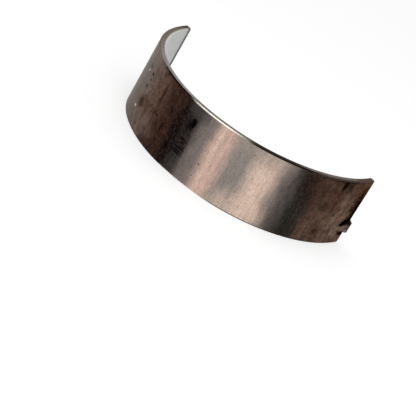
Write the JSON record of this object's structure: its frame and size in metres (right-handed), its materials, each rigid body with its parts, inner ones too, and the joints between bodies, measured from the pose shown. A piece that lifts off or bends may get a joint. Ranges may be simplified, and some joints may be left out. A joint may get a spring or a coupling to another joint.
{
  "type": "engine bearing shell",
  "caption": "Thin-wall half bearing shell for an engine journal: steel back with a bonded lining, chamfered edges and a pressed locating lug at one parting face.",
  "frame": {"origin": "on the journal axis, at mid-width of the shell, in the parting plane", "axes": "+Z along the journal axis, up from the side face that the shell stands on; -Y towards the crown; +X towards the end with the locating lug"},
  "size_m": [0.0567, 0.028, 0.016],
  "materials": {
    "steel_back": "oxidised brown, satin, stained along the grain",
    "bearing_lining": "matt pale grey"
  },
  "bodies": {
    "root": {"steel_back": "steel_back", "bearing_lining": "bearing_lining"}
  },
  "joints": []
}
